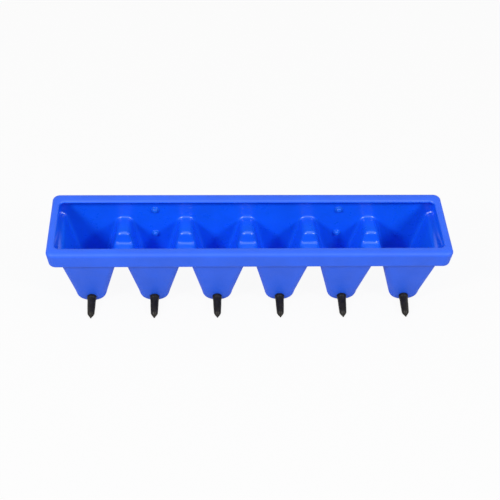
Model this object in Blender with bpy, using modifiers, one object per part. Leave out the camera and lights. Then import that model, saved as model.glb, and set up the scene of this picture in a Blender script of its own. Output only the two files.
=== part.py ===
"""Multi-teat milk feeder: a six-cup plastic trough with rubber teats and two hanging brackets.

Metres, +Z up. X runs along the trough, the teats point to -Y and the brackets hang it from its +Y side.
The feeder stands on its cup bottoms at Z = 0, with the origin under the middle of its bounding box.
"""

from math import acos, atan, cos, pi, radians, sin, sqrt

import bmesh
import bpy
from mathutils import Vector

# Trough. Y is measured here from the front edge of the rim, and depths from the top of the rim.
CUP_COUNT = 6
RIM_WIDTH = 0.224
BODY_HEIGHT = 0.1905
WALL = 0.0045
RIM_CORNER_RADIUS = 0.018
RIM_EDGE_RADIUS = 0.006
BAND_HEIGHT = 0.0435
BAND_DRAFT = 0.0040
BAND_FOOT_RADIUS = 0.006

# Rim flange, measured inwards from the outer edge
FLANGE_THICKNESS = 0.008
FLANGE_FRONT = 0.0255
FLANGE_BACK = 0.0265
FLANGE_END = 0.0185
OPENING_CORNER_RADIUS = 0.012

# Cups, outside, at the depth where they leave the band. They widen towards the back by the flare of their
# sides, the two outermost sides of the trough by the end flare.
CUP_START_DEPTH = 0.0417
CUP_HALF_WIDTH = 0.0645
CUP_GAP = 0.0210
CUP_END_MARGIN = 0.0302
CUP_SIDE_LEAN = 0.248
CUP_SIDE_FLARE = 0.0315
CUP_END_FLARE = 0.064
CUP_FRONT_SETBACK = 0.012
CUP_FRONT_LEAN = 0.260
CUP_CORNER_RADIUS = 0.014
CUP_SIDE_FOOT_RADIUS = 0.024
CUP_END_FOOT_RADIUS = 0.006

# Dividers between the cups: a crest that falls towards the back, with a notch in the middle
CREST_START = 0.020
CREST_FALL = 0.155
NOTCH_DEPTH = 0.088
NOTCH_FRONT = 0.085
NOTCH_BACK = 0.144
NOTCH_FLARE = 0.0085
END_LEDGE_FALL = 0.080
WEB_OVERLAP = 0.007

# Non-return valve: a ball in a cage that pushes into the teat
BALL_RADIUS = 0.0030
BALL_CAGE_CLEARANCE = 0.0004
BALL_TRAVEL = 0.0030
VALVE_FLANGE_MARGIN = 0.0028
VALVE_FLANGE_THICKNESS = 0.0015
VALVE_INLET_RADIUS = 0.0020
VALVE_INLET_LENGTH = 0.0026
VALVE_CAGE_WALL = 0.0013
VALVE_OUTLET_RADIUS = 0.0022
VALVE_LIP_THICKNESS = 0.0015
VALVE_SLOT_WIDTH = 0.0016
VALVE_SLOT_MARGIN = 0.0002

# Rubber teat, along its own axis from the outside of the cup's front wall
TEAT_LENGTH = 0.0618
TEAT_HEIGHT = 0.0200
TEAT_WALL = 0.0032
TEAT_COLLAR_STEP = 0.0036
TEAT_COLLAR_LENGTH = 0.0095
TEAT_COLLAR_TAPER = 0.0125
TEAT_BODY_RADIUS = 0.0097
TEAT_BODY_LENGTH = 0.0448
TEAT_END_RADIUS = 0.0087
TEAT_DOME_LENGTH = 0.0138
TEAT_DOME_POWER = 1.3
TEAT_NUB_ROOT_RADIUS = 0.0028
TEAT_NUB_RADIUS = 0.0017
TEAT_NUB_ROUND = 0.0006
TEAT_OUTLET_RADIUS = 0.0008
TEAT_FLANGE_STEP = 0.0043
TEAT_FLANGE_THICKNESS = 0.0040
TEAT_FLANGE_CHAMFER = 0.0010

# Bolts through the back wall, in pairs one above the other
BOLT_CUPS = (1, 4)
UPPER_BOLT_DEPTH = 0.045
LOWER_BOLT_DEPTH = 0.119
BOLT_RADIUS = 0.0030
BOLT_HEAD_RADIUS = 0.0080
BOLT_HEAD_EDGE = 0.0010
BOLT_DOME_HEIGHT = 0.0028
BOLT_TAIL = 0.0025
SEAL_RADIUS = 0.0098
SEAL_THICKNESS = 0.0020
WASHER_RADIUS = 0.0066
WASHER_THICKNESS = 0.0016
NUT_ACROSS_FLATS = 0.0100
NUT_THICKNESS = 0.0050

# Hanging brackets
BRACKET_WIDTH = 0.030
BRACKET_THICKNESS = 0.003
BRACKET_END_MARGIN = 0.014
BRACKET_CORNER_RADIUS = 0.005
HOOK_DEPTH = 0.060
HOOK_THROAT = 0.032
HOOK_DROP = 0.048
HOOK_BEND_RADIUS = 0.007

# Clearances between pieces that touch, between a bolt and its hole, and past the faces that a cutter cuts
SEAT_GAP = 0.0003
HOLE_CLEARANCE = 0.0003
OVERRUN = 0.004

# Segments of the rounded shapes, and the distance at which a turned shape's ends merge
CORNER_SEGMENTS = 3
EDGE_SEGMENTS = 3
TURNED_SEGMENTS = 16
BALL_SEGMENTS = 12
BALL_RINGS = 8
MERGE_DISTANCE = 0.00001

# Sizes that follow from the ones above
FRONT_TILT = atan(CUP_FRONT_LEAN)
SLANT_WALL = WALL / cos(FRONT_TILT)
TEAT_PITCH = 2 * CUP_HALF_WIDTH + CUP_GAP
RIM_LENGTH = TEAT_PITCH * (CUP_COUNT - 1) + 2 * (CUP_HALF_WIDTH + CUP_END_MARGIN)
FLOOR_DEPTH = BAND_HEIGHT - WALL
BACK_INSIDE = RIM_WIDTH - WALL
CUP_TOP_DEPTH = BAND_HEIGHT / 2
DIVIDER_REACH = CUP_GAP / 2 + CUP_SIDE_LEAN * (NOTCH_DEPTH - CUP_START_DEPTH) + SLANT_WALL + WEB_OVERLAP

CAGE_RADIUS = BALL_RADIUS + BALL_CAGE_CLEARANCE
BARREL_RADIUS = CAGE_RADIUS + VALVE_CAGE_WALL
TEAT_BORE_RADIUS = BARREL_RADIUS + SEAT_GAP
TEAT_NECK_RADIUS = TEAT_BORE_RADIUS + TEAT_WALL
TEAT_FLANGE_END = -WALL - SEAT_GAP - TEAT_FLANGE_THICKNESS
VALVE_SEAT = TEAT_FLANGE_END - SEAT_GAP
VALVE_CONE = VALVE_SEAT - VALVE_FLANGE_THICKNESS + VALVE_INLET_LENGTH
BALL_CLOSED = VALVE_CONE + (BALL_RADIUS + SEAT_GAP) * sqrt(2) - VALVE_INLET_RADIUS
BALL_OPEN = BALL_CLOSED + BALL_TRAVEL
VALVE_LIP = BALL_OPEN + sqrt((BALL_RADIUS + SEAT_GAP) ** 2 - VALVE_OUTLET_RADIUS**2)
VALVE_END = VALVE_LIP + VALVE_LIP_THICKNESS

SEAL_FACE = -SEAT_GAP - SEAL_THICKNESS
BOLT_HEAD_FACE = SEAL_FACE - SEAT_GAP
BRACKET_FACE = WALL + SEAT_GAP
WASHER_FACE = BRACKET_FACE + BRACKET_THICKNESS + SEAT_GAP
NUT_FACE = WASHER_FACE + WASHER_THICKNESS + SEAT_GAP
BOLT_END = NUT_FACE + NUT_THICKNESS + BOLT_TAIL


def level(depth):
    """Height above the ground of a point this far below the top of the rim."""
    return BODY_HEIGHT - depth


def cup_centre(index):
    return (index - (CUP_COUNT - 1) / 2) * TEAT_PITCH


def cup_half_width(depth):
    """Half the outside width of a cup."""
    return CUP_HALF_WIDTH - CUP_SIDE_LEAN * (depth - CUP_START_DEPTH)


def cup_flare(index, side):
    """Flare of a cup's side towards -X or +X."""
    at_end = (side < 0 and index == 0) or (side > 0 and index == CUP_COUNT - 1)
    return CUP_END_FLARE if at_end else CUP_SIDE_FLARE


def cup_front(depth):
    """Y of the outside of a cup's front wall."""
    return CUP_FRONT_SETBACK + CUP_FRONT_LEAN * (depth - CUP_START_DEPTH)


def rounding(height, radius):
    """How far a rounded foot draws in its wall at this height above the foot."""
    drop = radius - min(max(height, 0), radius)
    return radius - sqrt(radius**2 - drop**2)


def clear_scene():
    for item in list(bpy.data.objects):
        bpy.data.objects.remove(item, do_unlink=True)


def new_collection(name):
    collection = bpy.data.collections.new(name)
    bpy.context.scene.collection.children.link(collection)
    return collection


def make_material(name, colour, roughness, metallic=0.0):
    material = bpy.data.materials.new(name)
    material.use_nodes = True
    shader = material.node_tree.nodes["Principled BSDF"]
    shader.inputs["Base Color"].default_value = (*colour, 1.0)
    shader.inputs["Roughness"].default_value = roughness
    shader.inputs["Metallic"].default_value = metallic
    return material


def add_object(name, mesh, collection, material=None):
    """Object in a collection. Without a material it is a cutter or a form to join."""
    item = bpy.data.objects.new(name, mesh)
    collection.objects.link(item)
    if material and not mesh.materials:
        mesh.materials.append(material)
    if not material:
        item.hide_render = True
        item.display_type = "WIRE"
    return item


def mesh_from(name, bm):
    """Mesh from a bmesh, faces pointing out, shaded smooth apart from its sharp edges."""
    bmesh.ops.recalc_face_normals(bm, faces=bm.faces)
    mesh = bpy.data.meshes.new(name)
    bm.to_mesh(mesh)
    bm.free()
    mesh.shade_smooth()
    mesh.set_sharp_from_angle(angle=radians(35))
    return mesh


def add_boolean(item, operation, operand):
    """Boolean of an object with another object, or with every object of a collection."""
    modifier = item.modifiers.new(operand.name, "BOOLEAN")
    modifier.operation = operation
    modifier.solver = "EXACT"
    if isinstance(operand, bpy.types.Collection):
        modifier.operand_type = "COLLECTION"
        modifier.collection = operand
    else:
        modifier.object = operand


def section(x0, x1, y0, y1, radius, z):
    """Rounded rectangle at height z, as a list of points."""
    centres = ((x1 - radius, y1 - radius), (x0 + radius, y1 - radius))
    centres += ((x0 + radius, y0 + radius), (x1 - radius, y0 + radius))
    points = []
    for quarter, (x, y) in enumerate(centres):
        for step in range(CORNER_SEGMENTS + 1):
            angle = (quarter + step / CORNER_SEGMENTS) * pi / 2
            points.append(Vector((x + radius * cos(angle), y + radius * sin(angle), z)))
    return points


def loft(name, sections, collection, material=None):
    """Closed solid through sections with the same number of points, from the lowest up."""
    bm = bmesh.new()
    rings = [[bm.verts.new(point) for point in points] for points in sections]
    for lower, upper in zip(rings, rings[1:]):
        for i, corner in enumerate(lower):
            j = (i + 1) % len(lower)
            bm.faces.new((corner, lower[j], upper[j], upper[i]))
    bm.faces.new(reversed(rings[0]))
    bm.faces.new(rings[-1])
    return add_object(name, mesh_from(name, bm), collection, material)


def prism(name, outline, x0, x1, collection, material=None):
    """Solid with an outline of (y, z) points, from x0 to x1."""
    bm = bmesh.new()
    face = bm.faces.new([bm.verts.new((x0, y, z)) for y, z in outline])
    pushed = bmesh.ops.extrude_face_region(bm, geom=[face])["geom"]
    corners = [part for part in pushed if isinstance(part, bmesh.types.BMVert)]
    bmesh.ops.translate(bm, verts=corners, vec=(x1 - x0, 0, 0))
    return add_object(name, mesh_from(name, bm), collection, material)


def block(name, size, location, collection):
    """Box with its centre at a location, used as a cutter."""
    bm = bmesh.new()
    bmesh.ops.create_cube(bm, size=1)
    bmesh.ops.scale(bm, verts=bm.verts, vec=size)
    item = add_object(name, mesh_from(name, bm), collection)
    item.location = location
    return item


def profile_mesh(name, profile):
    """Outline of a turned shape from (radius, z) points, closed into a loop if it stays off the axis."""
    count = len(profile)
    edges = [(i, i + 1) for i in range(count - 1)]
    if min(radius for radius, z in profile) > 0:
        edges.append((count - 1, 0))
    mesh = bpy.data.meshes.new(name)
    mesh.from_pydata([(radius, 0, z) for radius, z in profile], edges, [])
    return mesh


def turned(name, mesh, collection, material=None):
    """Object turned about its Z axis from a profile that runs down its outer side."""
    item = add_object(name, mesh, collection, material)
    screw = item.modifiers.new("turn", "SCREW")
    screw.steps = TURNED_SEGMENTS
    screw.render_steps = TURNED_SEGMENTS
    screw.use_merge_vertices = True
    screw.merge_threshold = MERGE_DISTANCE
    screw.use_smooth_shade = True
    return item


def aim_front(item, spot):
    """Puts an object on a cup's front wall with its Z axis straight out of the wall."""
    item.location = spot
    item.rotation_euler = (pi / 2 + FRONT_TILT, 0, 0)


def aim_back(item, spot):
    """Puts an object on the back wall with its Z axis towards +Y."""
    item.location = spot
    item.rotation_euler = (-pi / 2, 0, 0)


def rod(radius, low, high):
    """Profile of a plain cylinder."""
    return [(0, high), (radius, high), (radius, low), (0, low)]


def ring(inner, outer, low, high):
    """Profile of a plain washer."""
    return [(inner, high), (outer, high), (outer, low), (inner, low)]


def band_inset(depth):
    """How far the drafted side of the band lies inside the rim's edge."""
    return BAND_DRAFT * (depth - RIM_EDGE_RADIUS) / (BAND_HEIGHT - BAND_FOOT_RADIUS - RIM_EDGE_RADIUS)


def band_section(inset, back_inset, depth):
    half_length = RIM_LENGTH / 2 - inset
    back = RIM_WIDTH - back_inset
    return section(-half_length, half_length, inset, back, RIM_CORNER_RADIUS, level(depth))


def make_band(collection, material):
    """Rim and band as a solid block: rounded foot, drafted front and ends, and a rounded top edge."""
    sections = []
    for step in range(EDGE_SEGMENTS + 1):
        height = BAND_FOOT_RADIUS * (1 - cos(pi / 2 * step / EDGE_SEGMENTS))
        inset = BAND_DRAFT + rounding(height, BAND_FOOT_RADIUS)
        sections.append(band_section(inset, 0, BAND_HEIGHT - height))
    for step in range(EDGE_SEGMENTS + 1):
        angle = pi / 2 * step / EDGE_SEGMENTS
        inset = RIM_EDGE_RADIUS * (1 - cos(angle))
        sections.append(band_section(inset, inset, RIM_EDGE_RADIUS * (1 - sin(angle))))
    return loft("trough_body", sections, collection, material)


def make_tray_hollow(collection):
    """Hollow of the band below the flange, and the opening through the flange."""
    sections = []
    for depth in (FLOOR_DEPTH, FLANGE_THICKNESS):
        inset = band_inset(depth) + WALL
        half_length = RIM_LENGTH / 2 - inset
        corner = RIM_CORNER_RADIUS - WALL
        sections.append(section(-half_length, half_length, inset, BACK_INSIDE, corner, level(depth)))
    loft("tray_hollow", sections, collection)
    half_opening = RIM_LENGTH / 2 - FLANGE_END
    back = RIM_WIDTH - FLANGE_BACK
    opening = []
    for depth in (CUP_TOP_DEPTH, -OVERRUN):
        opening.append(
            section(-half_opening, half_opening, FLANGE_FRONT, back, OPENING_CORNER_RADIUS, level(depth))
        )
    loft("rim_opening", opening, collection)


def make_cup(name, index, wall, top_depth, collection):
    """Outside of a cup, or its hollow where the wall isn't zero."""
    inset = wall / cos(FRONT_TILT)
    side_foot = CUP_SIDE_FOOT_RADIUS - wall
    end_foot = CUP_END_FOOT_RADIUS - wall
    centre = cup_centre(index)
    heights = {end_foot * step / EDGE_SEGMENTS for step in range(EDGE_SEGMENTS + 1)}
    heights |= {side_foot * step / EDGE_SEGMENTS for step in range(EDGE_SEGMENTS + 1)}
    heights.add(BODY_HEIGHT - wall - top_depth)
    sections = []
    for height in sorted(heights):
        depth = BODY_HEIGHT - wall - height
        half_width = cup_half_width(depth) - inset - rounding(height, side_foot)
        front = cup_front(depth) + inset + rounding(height, end_foot)
        back = RIM_WIDTH - wall - rounding(height, end_foot)
        corner = min(CUP_CORNER_RADIUS - wall, half_width * 0.9)
        points = section(centre - half_width, centre + half_width, front, back, corner, level(depth))
        for point in points:
            side = (point.x - centre) / half_width
            point.x += side * cup_flare(index, side) * (point.y - CUP_FRONT_SETBACK)
        sections.append(points)
    loft(name, sections, collection)


def crest_line(fall, notched, offset, front, back):
    """Top of a divider as (y, z) points from the back to the front, lowered by an offset."""
    line = [(y, FLOOR_DEPTH + fall * (y - CREST_START)) for y in (front, back)]
    if notched:
        lean = atan(NOTCH_FLARE / (NOTCH_DEPTH - FLOOR_DEPTH))
        spread = offset * (1 - sin(lean)) / cos(lean)
        near = NOTCH_FRONT - spread
        far = NOTCH_BACK + spread
        shoulders = (near - NOTCH_FLARE, far + NOTCH_FLARE)
        line += [(near, NOTCH_DEPTH), (far, NOTCH_DEPTH)]
        line += [(y, FLOOR_DEPTH + fall * (y - CREST_START)) for y in shoulders]
    return [(y, level(depth + offset)) for y, depth in sorted(line, reverse=True)]


def make_divider(name, x0, x1, hollow_x0, hollow_x1, fall, notched, forms, hollows):
    """Web between two cups, or beyond an end cup, and the space above its crest."""
    front = CREST_START - WALL / 2
    web_top = level(FLOOR_DEPTH + WALL / 2)
    web = crest_line(fall, notched, WALL, front, RIM_WIDTH)
    web += [(front, web_top), (RIM_WIDTH, web_top)]
    prism(name + "_web", web, x0, x1, forms)
    space_top = level(CUP_TOP_DEPTH)
    space = crest_line(fall, notched, 0, front, BACK_INSIDE)
    space += [(front, space_top), (BACK_INSIDE, space_top)]
    prism(name + "_space", space, hollow_x0, hollow_x1, hollows)


def make_dividers(forms, hollows):
    for index in range(CUP_COUNT - 1):
        x0 = cup_centre(index) + TEAT_PITCH / 2 - DIVIDER_REACH
        x1 = x0 + 2 * DIVIDER_REACH
        make_divider(f"divider_{index + 1}", x0, x1, x0, x1, CREST_FALL, True, forms, hollows)
    inner = cup_centre(CUP_COUNT - 1) + TEAT_PITCH / 2 - DIVIDER_REACH
    outer = RIM_LENGTH / 2 - BAND_DRAFT - BAND_FOOT_RADIUS
    wall = outer - WALL
    make_divider("left_ledge", -outer, -inner, -wall, -inner, END_LEDGE_FALL, False, forms, hollows)
    make_divider("right_ledge", inner, outer, inner, wall, END_LEDGE_FALL, False, forms, hollows)


def teat_seat(index):
    """Point on the outside of a cup's front wall where its teat's axis comes out."""
    return Vector((cup_centre(index), cup_front(BODY_HEIGHT - TEAT_HEIGHT), TEAT_HEIGHT))


def bolt_places():
    """Points on the inside of the back wall, pair by pair, the upper bolt first."""
    depths = (UPPER_BOLT_DEPTH, LOWER_BOLT_DEPTH)
    return [Vector((cup_centre(cup), BACK_INSIDE, level(depth))) for cup in BOLT_CUPS for depth in depths]


def make_trough(parts, forms, hollows, material):
    """Trough body: the outer forms joined, then hollowed, with the holes for the teats and bolts."""
    body = make_band(parts, material)
    for index in range(CUP_COUNT):
        make_cup(f"cup_form_{index + 1}", index, 0, CUP_TOP_DEPTH, forms)
        make_cup(f"cup_hollow_{index + 1}", index, WALL, CUP_TOP_DEPTH, hollows)
    make_tray_hollow(hollows)
    make_dividers(forms, hollows)
    teat_hole = profile_mesh("teat_hole", rod(TEAT_NECK_RADIUS + HOLE_CLEARANCE, -WALL - OVERRUN, OVERRUN))
    for index in range(CUP_COUNT):
        aim_front(turned(f"teat_hole_{index + 1}", teat_hole, hollows), teat_seat(index))
    bolt_hole = profile_mesh("bolt_hole", rod(BOLT_RADIUS + HOLE_CLEARANCE, -OVERRUN, WALL + OVERRUN))
    for number, spot in enumerate(bolt_places(), 1):
        aim_back(turned(f"bolt_hole_{number}", bolt_hole, hollows), spot)
    add_boolean(body, "UNION", forms)
    add_boolean(body, "DIFFERENCE", hollows)


def teat_profile():
    """Tip, nub, dome, body and collar down to the inner flange, then back up the bore."""
    collar = SEAT_GAP
    flange_radius = TEAT_NECK_RADIUS + TEAT_FLANGE_STEP
    collar_radius = TEAT_NECK_RADIUS + TEAT_COLLAR_STEP
    dome_end = TEAT_BODY_LENGTH + TEAT_DOME_LENGTH
    dome = [
        (TEAT_NUB_ROOT_RADIUS + (TEAT_END_RADIUS - TEAT_NUB_ROOT_RADIUS) * (1 - share**TEAT_DOME_POWER),
         TEAT_BODY_LENGTH + TEAT_DOME_LENGTH * share)
        for share in (1, 0.7, 0.4, 0.15, 0)
    ]
    return [
        (TEAT_OUTLET_RADIUS, TEAT_LENGTH),
        (TEAT_NUB_RADIUS - TEAT_NUB_ROUND, TEAT_LENGTH),
        (TEAT_NUB_RADIUS, TEAT_LENGTH - TEAT_NUB_ROUND),
        *dome,
        (TEAT_BODY_RADIUS, collar + TEAT_COLLAR_LENGTH + TEAT_COLLAR_TAPER),
        (collar_radius, collar + TEAT_COLLAR_LENGTH),
        (collar_radius, collar),
        (TEAT_NECK_RADIUS, collar),
        (TEAT_NECK_RADIUS, -WALL - SEAT_GAP),
        (flange_radius, -WALL - SEAT_GAP),
        (flange_radius, TEAT_FLANGE_END + TEAT_FLANGE_CHAMFER),
        (flange_radius - TEAT_FLANGE_CHAMFER, TEAT_FLANGE_END),
        (TEAT_BORE_RADIUS, TEAT_FLANGE_END),
        (TEAT_BORE_RADIUS, TEAT_BODY_LENGTH),
        (TEAT_OUTLET_RADIUS, dome_end),
    ]


def valve_profile():
    """Outlet lip and barrel down to the flange, then the inlet, the ball's cone seat and the cage."""
    flange_radius = BARREL_RADIUS + VALVE_FLANGE_MARGIN
    flange_end = VALVE_SEAT - VALVE_FLANGE_THICKNESS
    return [
        (VALVE_OUTLET_RADIUS, VALVE_END),
        (BARREL_RADIUS, VALVE_END),
        (BARREL_RADIUS, VALVE_SEAT),
        (flange_radius, VALVE_SEAT),
        (flange_radius, flange_end),
        (VALVE_INLET_RADIUS, flange_end),
        (VALVE_INLET_RADIUS, VALVE_CONE),
        (CAGE_RADIUS, VALVE_CONE + CAGE_RADIUS - VALVE_INLET_RADIUS),
        (CAGE_RADIUS, VALVE_LIP),
        (VALVE_OUTLET_RADIUS, VALVE_LIP),
    ]


def bolt_profile():
    """End, shank and seat down to the edge and dome of the head."""
    edge = BOLT_HEAD_FACE - BOLT_HEAD_EDGE
    radius = (BOLT_HEAD_RADIUS**2 + BOLT_DOME_HEIGHT**2) / (2 * BOLT_DOME_HEIGHT)
    spread = acos(1 - BOLT_DOME_HEIGHT / radius)
    dome = []
    for step in range(EDGE_SEGMENTS):
        angle = spread * (1 - step / EDGE_SEGMENTS)
        dome.append((radius * sin(angle), edge + radius - BOLT_DOME_HEIGHT - radius * cos(angle)))
    return [
        (0, BOLT_END),
        (BOLT_RADIUS, BOLT_END),
        (BOLT_RADIUS, BOLT_HEAD_FACE),
        (BOLT_HEAD_RADIUS, BOLT_HEAD_FACE),
        *dome,
        (0, edge - BOLT_DOME_HEIGHT),
    ]


def make_teats(parts, cutters, root, rubber, valve_plastic, ball_plastic):
    """Teats, with a ball valve pushed into the bore of each."""
    teat_mesh = profile_mesh("teat", teat_profile())
    valve_mesh = profile_mesh("valve_body", valve_profile())
    ball = bmesh.new()
    bmesh.ops.create_uvsphere(ball, u_segments=BALL_SEGMENTS, v_segments=BALL_RINGS, radius=BALL_RADIUS)
    ball_mesh = mesh_from("valve_ball", ball)
    slot_length = 2 * (CAGE_RADIUS - VALVE_SLOT_MARGIN)
    slot_sizes = ((slot_length, VALVE_SLOT_WIDTH), (VALVE_SLOT_WIDTH, slot_length))
    for index in range(CUP_COUNT):
        axis = bpy.data.objects.new(f"teat_axis_{index + 1}", None)
        parts.objects.link(axis)
        axis.parent = root
        aim_front(axis, teat_seat(index))
        teat = turned(f"teat_{index + 1}", teat_mesh, parts, rubber)
        valve = turned(f"valve_body_{index + 1}", valve_mesh, parts, valve_plastic)
        slots = []
        for number, (length, width) in enumerate(slot_sizes, 1):
            name = f"valve_slot_{index + 1}_{number}"
            size = (length, width, VALVE_LIP_THICKNESS * 2)
            slots.append(block(name, size, (0, 0, (VALVE_LIP + VALVE_END) / 2), cutters))
            add_boolean(valve, "DIFFERENCE", slots[-1])
        ball = add_object(f"valve_ball_{index + 1}", ball_mesh, parts, ball_plastic)
        ball.location = (0, 0, BALL_OPEN)
        for item in (teat, valve, ball, *slots):
            item.parent = axis


def make_nut_mesh():
    bm = bmesh.new()
    radius = NUT_ACROSS_FLATS / 2 / cos(pi / 6)
    bmesh.ops.create_cone(
        bm, cap_ends=True, segments=6, radius1=radius, radius2=radius, depth=NUT_THICKNESS
    )
    bmesh.ops.translate(bm, verts=bm.verts, vec=(0, 0, NUT_FACE + NUT_THICKNESS / 2))
    return mesh_from("hexagon_nut", bm)


def make_fasteners(parts, cutters, steel, plastic):
    """Bolt with a seal washer under its head inside, and a washer and nut outside, in each bolt hole."""
    hole = BOLT_RADIUS + HOLE_CLEARANCE
    bolt_mesh = profile_mesh("bracket_bolt", bolt_profile())
    seal_mesh = profile_mesh("seal_washer", ring(hole, SEAL_RADIUS, SEAL_FACE, SEAL_FACE + SEAL_THICKNESS))
    washer_mesh = profile_mesh("plain_washer", ring(hole, WASHER_RADIUS, WASHER_FACE, NUT_FACE - SEAT_GAP))
    nut_hole = profile_mesh("nut_hole", rod(hole, NUT_FACE - OVERRUN, NUT_FACE + NUT_THICKNESS + OVERRUN))
    nut_mesh = make_nut_mesh()
    for number, spot in enumerate(bolt_places(), 1):
        nut = add_object(f"hexagon_nut_{number}", nut_mesh, parts, steel)
        cutter = turned(f"nut_hole_{number}", nut_hole, cutters)
        add_boolean(nut, "DIFFERENCE", cutter)
        bolt = turned(f"bracket_bolt_{number}", bolt_mesh, parts, steel)
        seal = turned(f"seal_washer_{number}", seal_mesh, parts, plastic)
        washer = turned(f"plain_washer_{number}", washer_mesh, parts, steel)
        for item in (nut, cutter, bolt, seal, washer):
            aim_back(item, spot)


def hook_outline(plate_front):
    """Side view of the hook: a shelf out of the plate that bends down into a leg."""
    shelf_top = level(HOOK_DEPTH)
    shelf_bottom = shelf_top - BRACKET_THICKNESS
    plate_middle = plate_front + BRACKET_THICKNESS / 2
    leg_inside = plate_front + BRACKET_THICKNESS + HOOK_THROAT
    bend = (leg_inside + BRACKET_THICKNESS - HOOK_BEND_RADIUS, shelf_top - HOOK_BEND_RADIUS)
    angles = [pi / 2 * step / CORNER_SEGMENTS for step in range(CORNER_SEGMENTS + 1)]
    inner_radius = HOOK_BEND_RADIUS - BRACKET_THICKNESS
    foot = shelf_bottom - HOOK_DROP
    inside = [(bend[0] + inner_radius * cos(a), bend[1] + inner_radius * sin(a)) for a in reversed(angles)]
    outside = [(bend[0] + HOOK_BEND_RADIUS * cos(a), bend[1] + HOOK_BEND_RADIUS * sin(a)) for a in angles]
    outline = [(plate_middle, shelf_top), (plate_middle, shelf_bottom), *inside]
    outline += [(leg_inside, foot), (leg_inside + BRACKET_THICKNESS, foot), *outside]
    return outline


def make_bracket(name, cup, parts, cutters, steel):
    """Plate bolted to the back wall, with a hook welded on between the two bolts."""
    plate_front = BACK_INSIDE + BRACKET_FACE
    top = level(UPPER_BOLT_DEPTH - BRACKET_END_MARGIN)
    bottom = level(LOWER_BOLT_DEPTH + BRACKET_END_MARGIN)
    middle = cup_centre(cup)
    bm = bmesh.new()
    bmesh.ops.create_cube(bm, size=1)
    bmesh.ops.scale(bm, verts=bm.verts, vec=(BRACKET_WIDTH, BRACKET_THICKNESS, top - bottom))
    centre = (middle, plate_front + BRACKET_THICKNESS / 2, (top + bottom) / 2)
    bmesh.ops.translate(bm, verts=bm.verts, vec=centre)
    corners = [edge for edge in bm.edges if edge.verts[0].co.y != edge.verts[1].co.y]
    bmesh.ops.bevel(
        bm, geom=corners, offset=BRACKET_CORNER_RADIUS, segments=CORNER_SEGMENTS, profile=0.5, affect="EDGES"
    )
    plate = add_object(name, mesh_from(name, bm), parts, steel)
    half = BRACKET_WIDTH / 2
    hook = prism(name + "_hook", hook_outline(plate_front), middle - half, middle + half, cutters)
    add_boolean(plate, "UNION", hook)
    hole = profile_mesh(name + "_hole", rod(BOLT_RADIUS + HOLE_CLEARANCE, 0, WASHER_FACE + OVERRUN))
    for depth in (UPPER_BOLT_DEPTH, LOWER_BOLT_DEPTH):
        cutter = turned(name + "_hole", hole, cutters)
        aim_back(cutter, (middle, BACK_INSIDE, level(depth)))
        add_boolean(plate, "DIFFERENCE", cutter)


def centre_on_origin(root, parts):
    """Moves the root so that the parts' bounding box is centred on Y = 0."""
    bpy.context.view_layer.update()
    graph = bpy.context.evaluated_depsgraph_get()
    reach = []
    for item in parts.objects:
        if item.type == "MESH":
            mesh = item.evaluated_get(graph).to_mesh()
            reach += [(item.matrix_world @ corner.co).y for corner in mesh.vertices]
    root.location.y = -(min(reach) + max(reach)) / 2


def main():
    clear_scene()
    parts = new_collection("milk_feeder")
    cutters = new_collection("cutters")
    forms = new_collection("trough_forms")
    hollows = new_collection("trough_hollows")
    blue_plastic = make_material("blue_plastic", (0.010, 0.083, 0.830), 0.38)
    black_rubber = make_material("black_rubber", (0.016, 0.016, 0.017), 0.50)
    white_plastic = make_material("white_plastic", (0.800, 0.790, 0.750), 0.35)
    ball_plastic = make_material("ball_plastic", (0.620, 0.050, 0.035), 0.30)
    zinc_steel = make_material("zinc_steel", (0.620, 0.630, 0.640), 0.35, 1.0)

    root = bpy.data.objects.new("feeder", None)
    parts.objects.link(root)
    make_trough(parts, forms, hollows, blue_plastic)
    make_fasteners(parts, cutters, zinc_steel, blue_plastic)
    for side, cup in zip(("left", "right"), BOLT_CUPS):
        make_bracket(f"hanging_bracket_{side}", cup, parts, cutters, zinc_steel)
    for item in [*parts.objects, *forms.objects, *hollows.objects, *cutters.objects]:
        if item != root:
            item.parent = root
    make_teats(parts, cutters, root, black_rubber, white_plastic, ball_plastic)
    centre_on_origin(root, parts)


main()
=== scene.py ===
"""Looks of the multi-teat milk feeder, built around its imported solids.

Metres, in the solids' own frame. The trough is worked out as a distance field, from distances to its
walls that are joined with rounded edges, and meshed where the field is zero. Y is measured from the front
edge of the rim and depth from its top, as the trough's sizes are, and both are turned into the solids'
frame where a mesh is made.
"""

from itertools import product
from math import atan, cos, pi, radians, sin, sqrt

import bmesh
import bpy
import numpy as np
from mathutils import Matrix, Vector


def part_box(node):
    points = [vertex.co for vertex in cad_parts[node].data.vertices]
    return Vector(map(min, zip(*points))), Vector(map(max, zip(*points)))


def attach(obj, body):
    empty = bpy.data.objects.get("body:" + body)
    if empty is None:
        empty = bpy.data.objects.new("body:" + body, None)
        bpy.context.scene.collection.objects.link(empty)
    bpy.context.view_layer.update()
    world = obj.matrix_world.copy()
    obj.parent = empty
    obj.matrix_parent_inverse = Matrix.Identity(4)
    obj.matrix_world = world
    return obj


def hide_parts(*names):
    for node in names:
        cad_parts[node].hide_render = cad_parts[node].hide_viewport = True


# Camera, at the photograph's viewing angle. Its place is X, Y from the rim's front edge and depth.
CAMERA_PLACE = (-0.130889, -2.056899, -1.802498)
CAMERA_YAW = radians(2.92667)
CAMERA_PITCH = radians(40.96150)
CAMERA_ROLL = radians(1.74414)
CAMERA_LENS = 86.27
CAMERA_SHIFT = 0.02
SENSOR_WIDTH = 36
CAMERA_CLIP_END = 50

# Body that everything but the valve balls moves with, and mark for the surface inside the trough
BODY = "feeder"
INSIDE = "inside"

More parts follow.
